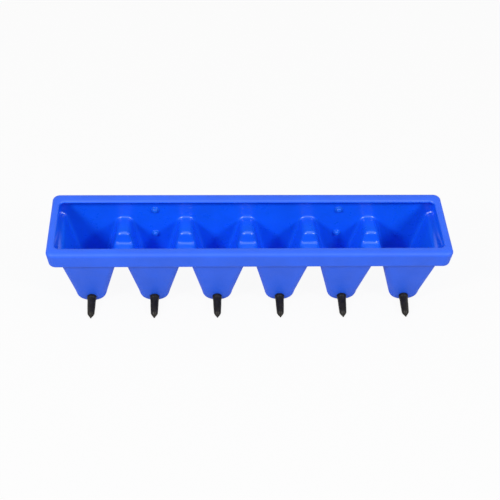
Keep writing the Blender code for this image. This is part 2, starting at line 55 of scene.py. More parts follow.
# Trough
CUP_PITCH = 0.150
CUP_COUNT = 6
WALL = 0.0045
RIM_CORNER_RADIUS = 0.018
RIM_EDGE_RADIUS = 0.009
RIM_BACK_EDGE_RADIUS = 0.006
BAND_HEIGHT = 0.0435
BAND_DRAFT = 0.0040
BAND_FOOT_RADIUS = 0.006
FLANGE_THICKNESS = 0.008
FLANGE_FRONT = 0.0268
FLANGE_BACK = 0.0265
FLANGE_END = 0.0185
OPENING_CORNER_RADIUS = 0.012
OPENING_DEPTH = 0.020
LIP_TOP_RADIUS = 0.0042
LIP_FOOT_RADIUS = 0.0015
CROWN_FALL = 0.0020
CROWN_WIDTH = 0.015
CUP_START_DEPTH = 0.0417
CUP_HALF_WIDTH = 0.0645
CUP_SIDE_LEAN = 0.248
CUP_SIDE_FLARE = 0.0315
CUP_END_FLARE = 0.064
CUP_FRONT_SETBACK = 0.012
CUP_FRONT_LEAN = 0.260
CUP_CORNER_RADIUS = 0.0095
CUP_SIDE_FOOT_RADIUS = 0.0225
CUP_FRONT_FOOT_RADIUS = 0.0015
CUP_FOOT_BLEND = (0.006, 0.030)
BACK_CORNER_RADIUS = 0.008
BACK_CORNER_BLEND = (0.060, 0.150)
CREST_START = 0.020
CREST_FALL = 0.155
CREST_RADIUS = 0.010
END_LEDGE_FALL = 0.080
NOTCH_DEPTH = 0.088
NOTCH_FRONT = 0.085
NOTCH_BACK = 0.144
NOTCH_FLARE = 0.0085
NOTCH_FOOT_RADIUS = 0.006
NOTCH_EDGE_RADIUS = 0.008
HOLE_REACH = 3 * WALL

# Meshing of the trough
FIELD_STEP = 0.0025
SETTLING_ROUNDS = 2
LEAST_STEEPNESS = 0.25
SHORTEST_MOVE = 1e-9
JUST_UNDER = 0.999
MERGE_DISTANCE = 0.0001

# Distances from the hollow between which the gloss of the inside and its painted light, the lighter inside
# blue, fade
GLOSS_AND_PAINTED_LIGHT_EDGE = (0.0005, 0.0030)

# Teats and their valves, along the teat's axis from the outside of the cup's front wall
TEAT_LENGTH = 0.0615
TEAT_HEIGHT = 0.0200
TEAT_NECK_RADIUS = 0.0082
TEAT_COLLAR_RADIUS = 0.0112
TEAT_COLLAR_LENGTH = 0.0070
TEAT_COLLAR_TAPER = 0.0190
TEAT_BODY_RADIUS = 0.0097
TEAT_BODY_LENGTH = 0.0480
TEAT_END_RADIUS = 0.0085
TEAT_DOME_LENGTH = 0.0106
TEAT_DOME_POWER = 1.5
TEAT_DOME_STEPS = 10
TEAT_TAPER_STEPS = 6
TEAT_RISE = 0.0005
TEAT_EDGE_RADIUS = 0.0008
TEAT_NUB_ROOT_RADIUS = 0.0028
TEAT_NUB_RADIUS = 0.0017
TEAT_NUB_FLARE = 0.0002
TEAT_NUB_EDGE_RADIUS = 0.0006
TEAT_OUTLET_RADIUS = 0.0008
TEAT_FLANGE_RADIUS = 0.0125
TEAT_FLANGE_THICKNESS = 0.0040
TEAT_FLANGE_EDGE_RADIUS = 0.0010
TEAT_BORE_RADIUS = 0.0050
BALL_RADIUS = 0.0030
BALL_TRAVEL = 0.0030
CAGE_RADIUS = 0.0034
BARREL_RADIUS = 0.0047
VALVE_FLANGE_RADIUS = 0.0075
VALVE_FLANGE_THICKNESS = 0.0015
VALVE_INLET_RADIUS = 0.0020
VALVE_INLET_LENGTH = 0.0026
VALVE_OUTLET_RADIUS = 0.0022
VALVE_LIP_THICKNESS = 0.0015

# Parting line of the ball, as shares of its radius
PARTING_LINE_WIDTH = 0.06
PARTING_LINE_HEIGHT = 0.008

# Fasteners, along the bolt's axis from the inside of the back wall
BOLT_CUPS = (1, 4)
UPPER_BOLT_DEPTH = 0.045
LOWER_BOLT_DEPTH = 0.119
BOLT_RADIUS = 0.0030
BOLT_HEAD_RADIUS = 0.0064
BOLT_HEAD_TAPER = 0.0006
BOLT_HEAD_HEIGHT = 0.0045
BOLT_HEAD_ROUNDING = 0.0028
BOLT_HEAD_CHAMFER = 0.0003
BOLT_HEAD_CROWN = 0.0002
BOLT_TAIL = 0.0025
THREAD_PITCH = 0.0010
THREAD_DEPTH = 0.0004
SEAL_RADIUS = 0.0098
SEAL_THICKNESS = 0.0020
SEAL_EDGE_RADIUS = 0.0010
WASHER_RADIUS = 0.0066
WASHER_THICKNESS = 0.0016
WASHER_EDGE_RADIUS = 0.0003
NUT_ACROSS_FLATS = 0.0100
NUT_THICKNESS = 0.0050

# Places of the thread's crest and root in each pitch, and the nut's chamfer as shares of its size
THREAD_CREST = 0.2
THREAD_ROOT = 0.7
NUT_CHAMFER_WIDTH = 0.955
NUT_CHAMFER_HEIGHT = 0.12

# Hanging brackets
BRACKET_WIDTH = 0.030
BRACKET_THICKNESS = 0.003
BRACKET_END_MARGIN = 0.014
BRACKET_CORNER_RADIUS = 0.005
BRACKET_EDGE_BEVEL = 0.0004
HOOK_DEPTH = 0.060
HOOK_THROAT = 0.032
HOOK_DROP = 0.048
HOOK_BEND_RADIUS = 0.007

# Gap between pieces that touch, and the fineness of turned shapes
SEAT_GAP = 0.0003
TURNED_STEPS = 48
SAME_POINT = 1e-6

# Lights: name, place, width and power
WORLD_LIGHT = 0.48
LIGHT_TARGET = (0, 0, 0.1)
LIGHTS = (
    ("left", (-2.0, -1.8, 2.15), 0.7, 60),
    ("right", (2.0, -1.8, 2.15), 0.7, 50),
    ("top", (0, -0.7, 2.7), 2.4, 10),
)
FLOOR_REACH = 12
FLOOR_COLOUR = (0.50, 0.50, 0.50)
FLOOR_WHITE = 0.94

# Finishes
OUTSIDE_BLUE = (0.003, 0.098, 0.780)
# Lighter blue of the inside surfaces: painted light, standing in for the brighter light inside the trough
INSIDE_BLUE_WITH_PAINTED_LIGHT = (0.004, 0.118, 0.860)
OUTSIDE_ROUGHNESS = 0.62
INSIDE_ROUGHNESS = 0.30
PLASTIC_IOR = 1.54
PLASTIC_SPECULAR = 0.65
HEAD_COLOUR = (0.012, 0.170, 0.860)
HEAD_COAT = 0.5
RUBBER_COLOUR = (0.011, 0.010, 0.008)
RUBBER_DARK = (0.007, 0.006, 0.004)
RUBBER_PALE = (0.017, 0.015, 0.012)
RUBBER_SPECULAR = 0.18
STEEL_COLOUR = (0.62, 0.63, 0.64)
STEEL_DARK = (0.50, 0.51, 0.53)
STEEL_PALE = (0.70, 0.71, 0.71)
VALVE_COLOUR = (0.80, 0.79, 0.75)
BALL_COLOUR = (0.62, 0.05, 0.035)

# Range that holds most of a noise texture
NOISE_LOW = 0.3
NOISE_HIGH = 0.7

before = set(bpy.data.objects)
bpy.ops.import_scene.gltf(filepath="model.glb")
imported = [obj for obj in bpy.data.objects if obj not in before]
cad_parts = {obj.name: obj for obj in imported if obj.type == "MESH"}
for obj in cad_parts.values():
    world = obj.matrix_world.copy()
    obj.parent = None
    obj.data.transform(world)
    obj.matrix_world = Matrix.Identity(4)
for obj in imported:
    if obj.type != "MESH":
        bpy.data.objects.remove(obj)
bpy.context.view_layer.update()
TROUGH_LOW, TROUGH_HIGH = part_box("trough_body")
RIM_LENGTH = TROUGH_HIGH.x - TROUGH_LOW.x
RIM_WIDTH = TROUGH_HIGH.y - TROUGH_LOW.y
BODY_HEIGHT = TROUGH_HIGH.z
FLOOR_DEPTH = BAND_HEIGHT - WALL
FRONT_TILT = atan(CUP_FRONT_LEAN)
BACK_INSIDE = RIM_WIDTH - WALL
PLATE_FRONT = BACK_INSIDE + WALL + SEAT_GAP
SEAT_DEPTH = BODY_HEIGHT - TEAT_HEIGHT
SEAT_FRONT = CUP_FRONT_SETBACK + CUP_FRONT_LEAN * (SEAT_DEPTH - CUP_START_DEPTH)
BOLT_HOLE_RADIUS = BOLT_RADIUS + SEAT_GAP
HEAD_FACE = -SEAL_THICKNESS - 2 * SEAT_GAP


def in_frame(x, y, depth):
    """Point in the solids' frame from the trough's own measures."""
    return Vector((x, TROUGH_LOW.y + y, BODY_HEIGHT - depth))


def cup_centre(index):
    return (index - (CUP_COUNT - 1) / 2) * CUP_PITCH


# Distance fields: negative inside. They work on whole arrays of points.


def joined(a, b, radius):
    """Union of two shapes, with a rounded inside corner between them."""
    near = np.hypot(np.maximum(radius - a, 0), np.maximum(radius - b, 0))
    return np.maximum(radius, np.minimum(a, b)) - near


def common(a, b, radius):
    """Intersection of two shapes, with a rounded edge between them."""
    near = np.hypot(np.maximum(radius + a, 0), np.maximum(radius + b, 0))
    return np.minimum(-radius, np.maximum(a, b)) + near


def rectangle(x, y, half_x, y0, y1, radius):
    """Rounded rectangle in plan, centred on X = 0."""
    u = np.abs(x) - half_x + radius
    v = np.abs(y - (y0 + y1) / 2) - (y1 - y0) / 2 + radius
    return np.hypot(np.maximum(u, 0), np.maximum(v, 0)) + np.minimum(np.maximum(u, v), 0) - radius


def smooth_step(value, start, end):
    t = np.clip((value - start) / (end - start), 0, 1)
    return t * t * (3 - 2 * t)


def band_side(x, y, depth):
    """Drafted outer side of the band, upright at the back."""
    draft = BAND_DRAFT / (BAND_HEIGHT - BAND_FOOT_RADIUS - RIM_BACK_EDGE_RADIUS)
    inset = np.clip(draft * (depth - RIM_BACK_EDGE_RADIUS), 0, BAND_DRAFT)
    plan = rectangle(x, y, RIM_LENGTH / 2 - inset, inset, RIM_WIDTH, RIM_CORNER_RADIUS)
    return np.where(y < RIM_WIDTH - RIM_CORNER_RADIUS, plan * cos(atan(draft)), plan)


def nearest_cup(x):
    """Number of the nearest cup, counted from the middle, and the distance from its centre."""
    place = np.clip(np.floor(x / CUP_PITCH), 0, CUP_COUNT / 2 - 1)
    return place, x - (place + 0.5) * CUP_PITCH


def cup_hollow(x, y, depth):
    """Inside of the cup that is nearest, wider towards its back and open there."""
    place, across = nearest_cup(x)
    wall = WALL / cos(FRONT_TILT)
    at_end = (across > 0) & (place == CUP_COUNT / 2 - 1)
    flare = np.where(at_end, CUP_END_FLARE, CUP_SIDE_FLARE) * (y - CUP_FRONT_SETBACK)
    below = depth - CUP_START_DEPTH
    side = np.abs(across) - (CUP_HALF_WIDTH - wall - CUP_SIDE_LEAN * below + flare)
    front = CUP_FRONT_SETBACK + wall + CUP_FRONT_LEAN * below - y
    bottom = depth - (BODY_HEIGHT - WALL)
    sides = common(side * cos(atan(CUP_SIDE_LEAN)), bottom, CUP_SIDE_FOOT_RADIUS)
    above_foot = smooth_step(-bottom, *CUP_FOOT_BLEND)
    corner = CUP_FRONT_FOOT_RADIUS + (CUP_CORNER_RADIUS - CUP_FRONT_FOOT_RADIUS) * above_foot
    return common(sides, front * cos(FRONT_TILT), corner)


def above_crests(x, y, depth):
    """Space above the tray floor and the crests of the dividers, without its side walls."""
    run = np.maximum(y - CREST_START, 0)
    slope = (depth - FLOOR_DEPTH - CREST_FALL * run) * cos(atan(CREST_FALL))
    ledge = (depth - FLOOR_DEPTH - END_LEDGE_FALL * run) * cos(atan(END_LEDGE_FALL))
    lean = NOTCH_FLARE / (NOTCH_DEPTH - FLOOR_DEPTH)
    flare = lean * (NOTCH_DEPTH - depth)
    flanks = np.maximum(NOTCH_FRONT - flare - y, y - NOTCH_BACK - flare) * cos(atan(lean))
    notch = common(depth - NOTCH_DEPTH, flanks, NOTCH_FOOT_RADIUS)
    divider = joined(slope, notch, NOTCH_EDGE_RADIUS)
    return np.where(x < cup_centre(CUP_COUNT - 1), divider, ledge)


def teat_hole(x, y, depth):
    """Hole in the front wall of the nearest cup."""
    _, across = nearest_cup(x)
    back = y - SEAT_FRONT
    down = depth - SEAT_DEPTH
    along = -back * cos(FRONT_TILT) + down * sin(FRONT_TILT)
    upright = back * sin(FRONT_TILT) + down * cos(FRONT_TILT)
    hole = np.hypot(across, upright) - TEAT_NECK_RADIUS - SEAT_GAP
    return np.maximum(hole, np.abs(along) - HOLE_REACH)


def bolt_hole(x, y, depth):
    """Holes of a pair of bolts in the back wall."""
    across = x - cup_centre(BOLT_CUPS[1])
    upper = np.hypot(across, depth - UPPER_BOLT_DEPTH)
    lower = np.hypot(across, depth - LOWER_BOLT_DEPTH)
    hole = np.minimum(upper, lower) - BOLT_HOLE_RADIUS
    return np.maximum(hole, np.abs(y - BACK_INSIDE) - HOLE_REACH)


def trough_shape(x, y, depth):
    """Space in the trough, and the outside of its wall with the flange of the rim."""
    side = band_side(x, y, depth)
    corner = BAND_FOOT_RADIUS - WALL + BACK_CORNER_RADIUS * smooth_step(y, *BACK_CORNER_BLEND)
    space = joined(above_crests(x, y, depth), cup_hollow(x, y, depth), CREST_RADIUS)
    space = common(space, side + WALL, corner)
    half_opening = RIM_LENGTH / 2 - FLANGE_END
    back = RIM_WIDTH - FLANGE_BACK
    opening = rectangle(x, y, half_opening, FLANGE_FRONT, back, OPENING_CORNER_RADIUS)
    crown = CROWN_FALL * np.clip(1 - opening / CROWN_WIDTH, 0, 1) ** 2
    towards_back = smooth_step(y, back, RIM_WIDTH)
    edge = RIM_EDGE_RADIUS + (RIM_BACK_EDGE_RADIUS - RIM_EDGE_RADIUS) * towards_back
    outside = common(space - WALL, crown - depth, edge)
    opening = np.maximum(opening, depth - OPENING_DEPTH)
    below_flange = common(space, FLANGE_THICKNESS - depth, BAND_FOOT_RADIUS - WALL)
    return joined(below_flange, opening, LIP_FOOT_RADIUS), outside


def trough_field(x, y, depth):
    """Material of the trough."""
    hollow, outside = trough_shape(x, y, depth)
    material = common(outside, -hollow, LIP_TOP_RADIUS)
    return np.maximum(material, -np.minimum(teat_hole(x, y, depth), bolt_hole(x, y, depth)))


def field_surface(field, low, high, step):
    """Points and quads of the surface where a field is zero: a point in each cell that it crosses."""
    axes = [np.arange(a, b + step, step) for a, b in zip(low, high)]
    values = field(*np.meshgrid(*axes, indexing="ij", sparse=True)).astype(np.float32)
    inside = values < 0
    corners = list(product((0, 1), repeat=3))
    size = [n - 1 for n in values.shape]
    count = np.zeros(size, np.int8)
    for i, j, k in corners:
        count += inside[i : i + size[0], j : j + size[1], k : k + size[2]]
    crossed = (count > 0) & (count < len(corners))
    cells = np.argwhere(crossed)
    number = np.full(size, -1, np.int32)
    number[crossed] = np.arange(len(cells))

    total = np.zeros((len(cells), 3))
    hits = np.zeros((len(cells), 1))
    for start, axis in product(corners, range(3)):
        if start[axis]:
            continue
        end = [c + (n == axis) for n, c in enumerate(start)]
        a = values[tuple((cells + start).T)]
        b = values[tuple((cells + end).T)]
        cut = (a < 0) != (b < 0)
        point = np.tile(np.array(start, float), (len(cells), 1))
        point[cut, axis] = a[cut] / (a[cut] - b[cut])
        total[cut] += point[cut]
        hits[cut] += 1
    points = np.array([axis[0] for axis in axes]) + step * (cells + total / hits)

    quads = []
    for axis in range(3):
        other, third = (axis + 1) % 3, (axis + 2) % 3
        first = [slice(1, n - 1) for n in values.shape]
        second = list(first)
        first[axis] = slice(0, size[axis])
        second[axis] = slice(1, size[axis] + 1)
        a, b = inside[tuple(first)], inside[tuple(second)]
        for flipped in (False, True):
            edges = np.argwhere((a & ~b) if not flipped else (b & ~a))
            edges[:, other] += 1
            edges[:, third] += 1
            around = []
            for u, v in ((0, 0), (1, 0), (1, 1), (0, 1)):
                cell = edges.copy()
                cell[:, other] -= u
                cell[:, third] -= v
                around.append(number[tuple(cell.T)])
            quads.append(np.stack(around if not flipped else around[::-1], axis=1))
    return points, np.concatenate(quads)


def settled(field, points, reach):
    """Points moved onto the surface where a field is zero, by no more than twice the reach each round."""
    for _ in range(SETTLING_ROUNDS):
        value = field(*points.T)
        slope = np.empty_like(points)
        for axis in range(3):
            shift = np.zeros(3)
            shift[axis] = reach
            slope[:, axis] = (field(*(points + shift).T) - field(*(points - shift).T)) / (2 * reach)
        steep = np.maximum((slope**2).sum(axis=1), LEAST_STEEPNESS)
        move = slope * (value / steep)[:, None]
        length = np.linalg.norm(move, axis=1, keepdims=True)
        points = points - move * np.minimum(1, 2 * reach / np.maximum(length, SHORTEST_MOVE))
    return points


# Scene helpers


def link(item):
    bpy.context.scene.collection.objects.link(item)
    return item


def new_piece(name, mesh, material, body, nodes):
    """Piece that stands for some of the solids and moves with their body."""
    item = link(bpy.data.objects.new(name, mesh))
    mesh.materials.append(material)
    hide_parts(*nodes)
    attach(item, body)
    return item


def smooth(mesh, angle=40):
    mesh.shade_smooth()
    mesh.set_sharp_from_angle(angle=radians(angle))
    return mesh


def finished(bm, name):
    mesh = bpy.data.meshes.new(name)
    bm.to_mesh(mesh)
    bm.free()
    return mesh


def turned_mesh(name, profile):
    """Mesh turned about Z from (radius, z) points. A profile that stays off the axis closes on itself."""
    bm = bmesh.new()
    verts = [bm.verts.new((radius, 0, z)) for radius, z in profile]
    edges = [bm.edges.new(pair) for pair in zip(verts, verts[1:])]
    if min(radius for radius, z in profile) > 0:
        edges.append(bm.edges.new((verts[-1], verts[0])))
    about_z = {"axis": (0, 0, 1), "cent": (0, 0, 0), "angle": 2 * pi}
    bmesh.ops.spin(bm, geom=verts + edges, steps=TURNED_STEPS, use_merge=True, **about_z)
    bmesh.ops.remove_doubles(bm, verts=bm.verts, dist=SAME_POINT)
    bmesh.ops.recalc_face_normals(bm, faces=bm.faces)
    return smooth(finished(bm, name))


def arc(centre, radius, start, end, steps):
    """Points of an arc about a centre, with angles in degrees."""
    angles = [radians(start + (end - start) * i / steps) for i in range(steps + 1)]
    return [(centre[0] + radius * cos(a), centre[1] + radius * sin(a)) for a in angles]


def top_edge(radius, level, rounding, steps=3):
    """Rounded outer edge of a turned shape, below its upper face."""
    return arc((radius - rounding, level - rounding), rounding, 90, 0, steps)


def bottom_edge(radius, level, rounding, steps=3):
    """Rounded outer edge of a turned shape, above its lower face."""
    return arc((radius - rounding, level + rounding), rounding, 0, -90, steps)


def on_front(mesh, index):
    """Copy of a mesh on a cup's front wall, with its Z axis straight out of it."""
    placed = mesh.copy()
    place = Matrix.Translation(in_frame(cup_centre(index), SEAT_FRONT, SEAT_DEPTH))
    placed.transform(place @ Matrix.Rotation(pi / 2 + FRONT_TILT, 4, "X"))
    return placed


def on_back(mesh, cup, depth):
    """Copy of a mesh on the inside of the back wall, with its Z axis towards +Y."""
    placed = mesh.copy()
    place = Matrix.Translation(in_frame(cup_centre(cup), BACK_INSIDE, depth))
    placed.transform(place @ Matrix.Rotation(-pi / 2, 4, "X"))
    return placed


# Materials


def new_material(name, colour, roughness, metallic=0.0):
    """Material and its shader, with the values that are the same all over set on the shader."""
    material = bpy.data.materials.new(name)
    material.use_nodes = True
    shader = material.node_tree.nodes["Principled BSDF"]
    shader.inputs["Base Color"].default_value = (*colour, 1)
    shader.inputs["Roughness"].default_value = roughness
    shader.inputs["Metallic"].default_value = metallic
    return material, shader


def add_node(owner, kind, **settings):
    """Node of a material or the world, with some of its inputs or settings filled in."""
    node = owner.node_tree.nodes.new(kind)
    for name, value in settings.items():
        label = name.replace("_", " ").title()
        if label in node.inputs:
            node.inputs[label].default_value = value
        else:
            setattr(node, name, value)
    return node


def wire(owner, source, target):
    owner.node_tree.links.new(source, target)


def noise(material, scale, detail=3.0, roughness=0.5, stretch=None):
    """Noise over the object, stretched along an axis where asked."""
    place = add_node(material, "ShaderNodeTexCoord").outputs["Object"]
    if stretch:
        mapping = add_node(material, "ShaderNodeMapping", scale=stretch)
        wire(material, place, mapping.inputs["Vector"])
        place = mapping.outputs["Vector"]
    texture = add_node(material, "ShaderNodeTexNoise", scale=scale, detail=detail, roughness=roughness)
    wire(material, place, texture.inputs["Vector"])
    return texture.outputs["Fac"]


def spread(owner, source, low, high, start=NOISE_LOW, end=NOISE_HIGH):
    """Range of a texture moved to another range."""
    node = add_node(owner, "ShaderNodeMapRange", from_min=start, from_max=end, to_min=low, to_max=high)
    wire(owner, source, node.inputs["Value"])
    return node.outputs["Result"]


def mixed(material, factor, first, second, blend="MIX"):
    """Colour between two colours, each a value or a socket."""
    node = add_node(material, "ShaderNodeMix", data_type="RGBA", blend_type=blend)
    inputs = {socket.identifier: socket for socket in node.inputs}
    for label, value in (("Factor_Float", factor), ("A_Color", first), ("B_Color", second)):
        if isinstance(value, float):
            inputs[label].default_value = value
        elif isinstance(value, tuple):
            inputs[label].default_value = (*value, 1)
        else:
            wire(material, value, inputs[label])
    return next(socket for socket in node.outputs if socket.identifier == "Result_Color")


def vary_colour(material, shader, texture, low, high):
    """Base colour that follows a texture from one colour to another."""
    share = spread(material, texture, 0, 1)
    wire(material, mixed(material, share, low, high), shader.inputs["Base Color"])


def vary_roughness(material, shader, texture, low, high):
    wire(material, spread(material, texture, low, high), shader.inputs["Roughness"])


def bump(material, shader, height, distance, strength, previous=None):
    """Bump from a texture, on top of a previous one where there is one."""
    node = add_node(material, "ShaderNodeBump", distance=distance, strength=strength)
    wire(material, height, node.inputs["Height"])
    if previous:
        wire(material, previous, node.inputs["Normal"])
    wire(material, node.outputs["Normal"], shader.inputs["Normal"])
    return node.outputs["Normal"]


def darker(colour, share):
    return tuple(channel * share for channel in colour)


def moulded_plastic():
    """Moulded polyethylene: faint cloudiness, a fine orange peel and long shallow scratches.

    It is dull on the outside, where it took the surface of the mould, and glossy on the inside, where its
    blue is also painted lighter as painted light for the brighter lit hollow.
    """
    material, shader = new_material("blue_plastic", OUTSIDE_BLUE, OUTSIDE_ROUGHNESS)
    shader.inputs["IOR"].default_value = PLASTIC_IOR
    shader.inputs["Specular IOR Level"].default_value = PLASTIC_SPECULAR
    side = add_node(material, "ShaderNodeAttribute", attribute_name=INSIDE).outputs["Fac"]

    cloud = spread(material, noise(material, scale=14, detail=4), low=0.92, high=1.05)
    shades = add_node(material, "ShaderNodeCombineColor")
    for channel in shades.inputs:
        wire(material, cloud, channel)
    # Outside blue, and the lighter inside blue that is painted light
    blue = mixed(material, side, OUTSIDE_BLUE, INSIDE_BLUE_WITH_PAINTED_LIGHT)
    clouded = mixed(material, 1.0, blue, shades.outputs["Color"], "MULTIPLY")
    wire(material, clouded, shader.inputs["Base Color"])

    gloss = spread(material, side, OUTSIDE_ROUGHNESS, INSIDE_ROUGHNESS, start=0, end=1)
    patches = spread(material, noise(material, scale=38, detail=5, roughness=0.6), low=-0.04, high=0.05)
    roughness = add_node(material, "ShaderNodeMath", operation="ADD")
    wire(material, gloss, roughness.inputs[0])
    wire(material, patches, roughness.inputs[1])
    wire(material, roughness.outputs[0], shader.inputs["Roughness"])

    peel = bump(material, shader, noise(material, scale=900, detail=2), distance=0.00005, strength=0.35)
    scratches = noise(material, scale=160, roughness=0.55, stretch=(0.12, 1.0, 1.0))
    bump(material, shader, scratches, distance=0.00004, strength=0.30, previous=peel)
    return material


def black_rubber():
    """Moulded rubber with a dull skin."""
    material, shader = new_material("black_rubber", RUBBER_COLOUR, roughness=0.38)
    shader.inputs["Specular IOR Level"].default_value = RUBBER_SPECULAR
    vary_colour(material, shader, noise(material, scale=120, detail=4), RUBBER_DARK, RUBBER_PALE)
    vary_roughness(material, shader, noise(material, scale=260, detail=4), low=0.34, high=0.52)
    bump(material, shader, noise(material, scale=1800, detail=2), distance=0.00008, strength=0.4)
    return material


def zinc_steel():
    """Zinc-plated steel: a mottled grey with faint brushing."""
    material, shader = new_material("zinc_steel", STEEL_COLOUR, roughness=0.33, metallic=1.0)
    vary_colour(material, shader, noise(material, scale=220, detail=5, roughness=0.6), STEEL_DARK, STEEL_PALE)
    vary_roughness(material, shader, noise(material, scale=400, detail=4), low=0.24, high=0.44)
    brushing = noise(material, scale=700, stretch=(1.0, 1.0, 0.15))
    bump(material, shader, brushing, distance=0.00006, strength=0.4)
    return material


def lacquer_and_ring_highlight():
    """Blue lacquer on a bolt head, a little uneven. The seal ring wears it too, lighter than its own blue
    plastic, as a painted highlight.
    """
    material, shader = new_material("lacquer_and_ring_highlight", HEAD_COLOUR, roughness=0.25)
    shader.inputs["Coat Weight"].default_value = HEAD_COAT
    vary_colour(material, shader, noise(material, scale=420), darker(HEAD_COLOUR, 0.80), HEAD_COLOUR)
    vary_roughness(material, shader, noise(material, scale=700, detail=4), low=0.18, high=0.34)
    bump(material, shader, noise(material, scale=1500, detail=2), distance=0.00003, strength=0.4)
    return material


def plain_plastic(name, colour, roughness):
    """Small moulded piece with a fine even grain."""
    material, shader = new_material(name, colour, roughness)
    vary_colour(material, shader, noise(material, scale=300), darker(colour, 0.88), colour)
    vary_roughness(material, shader, noise(material, scale=900), roughness - 0.05, roughness + 0.07)
    bump(material, shader, noise(material, scale=2500, detail=2), distance=0.00003, strength=0.4)
    return material


# Pieces


def make_trough(material):
    """Right half of the trough, mirrored about its middle."""
    step = FIELD_STEP
    margin = 2 * step
    low = (-step / 2, -margin, -margin)
    high = (RIM_LENGTH / 2 + margin, RIM_WIDTH + margin, BODY_HEIGHT + margin)
    points, quads = field_surface(trough_field, low, high, step)
    # The first row of cells lies astride the middle, and its points go onto it.
    at_middle = points[:, 0] < step / 2 * JUST_UNDER
    points = settled(trough_field, points, step / 8)
    points[at_middle, 0] = 0
    x, y, depth = points.T
    mesh = bpy.data.meshes.new("trough")
    mesh.from_pydata(np.stack((x, TROUGH_LOW.y + y, BODY_HEIGHT - depth), axis=1), [], quads[:, ::-1])
    mesh.validate()
    hollow, _ = trough_shape(x, y, depth)
    inside = mesh.attributes.new(INSIDE, "FLOAT", "POINT")
    # The mark sets the inside gloss and the painted light of the lighter inside blue
    inside.data.foreach_set("value", 1 - smooth_step(hollow, *GLOSS_AND_PAINTED_LIGHT_EDGE))
    trough = new_piece("moulded_trough", mesh, material, BODY, ["trough_body"])
    mirror = trough.modifiers.new("other_half", "MIRROR")
    mirror.merge_threshold = MERGE_DISTANCE
    smooth(mesh, angle=50)


def teat_profile():
    """Tip, nub, dome, body, collar and inner flange, then back up the bore."""
    collar = SEAT_GAP
    flange = -WALL - SEAT_GAP
    flange_end = flange - TEAT_FLANGE_THICKNESS
    dome_end = TEAT_BODY_LENGTH + TEAT_DOME_LENGTH
    taper_end = collar + TEAT_COLLAR_LENGTH + TEAT_COLLAR_TAPER
    dome = []
    for i in range(TEAT_DOME_STEPS + 1):
        t = 1 - i / TEAT_DOME_STEPS
        swell = (TEAT_END_RADIUS - TEAT_NUB_ROOT_RADIUS) * (1 - t**TEAT_DOME_POWER)
        dome.append((TEAT_NUB_ROOT_RADIUS + swell, TEAT_BODY_LENGTH + TEAT_DOME_LENGTH * t))
    taper = []
    for i in range(TEAT_TAPER_STEPS + 1):
        angle = pi / 2 * i / TEAT_TAPER_STEPS
        swell = (TEAT_COLLAR_RADIUS - TEAT_BODY_RADIUS) * (1 - cos(angle))
        taper.append((TEAT_BODY_RADIUS + swell, taper_end - TEAT_COLLAR_TAPER * sin(angle)))
    return [
        (TEAT_OUTLET_RADIUS, TEAT_LENGTH),
        *top_edge(TEAT_NUB_RADIUS, TEAT_LENGTH, TEAT_NUB_EDGE_RADIUS, steps=4),
        (TEAT_NUB_RADIUS + TEAT_NUB_FLARE, (TEAT_LENGTH + dome_end) / 2),
        *dome,
        *taper,
        *bottom_edge(TEAT_COLLAR_RADIUS, collar, TEAT_EDGE_RADIUS),
        (TEAT_NECK_RADIUS, collar),
        (TEAT_NECK_RADIUS, flange),
        *top_edge(TEAT_FLANGE_RADIUS, flange, TEAT_EDGE_RADIUS),
        *bottom_edge(TEAT_FLANGE_RADIUS, flange_end, TEAT_FLANGE_EDGE_RADIUS),
        (TEAT_BORE_RADIUS, flange_end),
        (TEAT_BORE_RADIUS, TEAT_BODY_LENGTH),
        (TEAT_OUTLET_RADIUS, dome_end),
    ]


def valve_levels():
    """Places along the teat's axis of the valve's seat, its cone and the ball at its open end."""
    seat = -WALL - TEAT_FLANGE_THICKNESS - 3 * SEAT_GAP
    cone = seat - VALVE_FLANGE_THICKNESS + VALVE_INLET_LENGTH
    ball_open = cone + (BALL_RADIUS + SEAT_GAP) * sqrt(2) - VALVE_INLET_RADIUS + BALL_TRAVEL
    return seat, cone, ball_open


def valve_profile():
    """Lip, barrel and flange, then the inlet, the cone seat and the cage."""
    seat, cone, ball_open = valve_levels()
    lip = ball_open + sqrt((BALL_RADIUS + SEAT_GAP) ** 2 - VALVE_OUTLET_RADIUS**2)
    flange_end = seat - VALVE_FLANGE_THICKNESS
    edge = VALVE_FLANGE_THICKNESS / 3
    return [
        (VALVE_OUTLET_RADIUS, lip + VALVE_LIP_THICKNESS),
        (BARREL_RADIUS, lip + VALVE_LIP_THICKNESS),
        (BARREL_RADIUS, seat),
        *top_edge(VALVE_FLANGE_RADIUS, seat, edge),
        *bottom_edge(VALVE_FLANGE_RADIUS, flange_end, edge),
        (VALVE_INLET_RADIUS + edge, flange_end),
        (VALVE_INLET_RADIUS, flange_end + edge),
        (VALVE_INLET_RADIUS, cone),
        (CAGE_RADIUS, cone + CAGE_RADIUS - VALVE_INLET_RADIUS),
        (CAGE_RADIUS, lip),
        (VALVE_OUTLET_RADIUS, lip),
    ]


def make_ball_mesh():
    """Ball with a faint parting line around it, at the open end of its cage."""
    bm = bmesh.new()
    bmesh.ops.create_icosphere(bm, subdivisions=4, radius=BALL_RADIUS)
    for vert in bm.verts:
        near = max(0, 1 - abs(vert.co.x) / (BALL_RADIUS * PARTING_LINE_WIDTH))
        vert.co *= 1 + PARTING_LINE_HEIGHT * near
    _, _, ball_open = valve_levels()
    bmesh.ops.translate(bm, verts=bm.verts, vec=(0, 0, ball_open))
    return smooth(finished(bm, "valve_ball"))


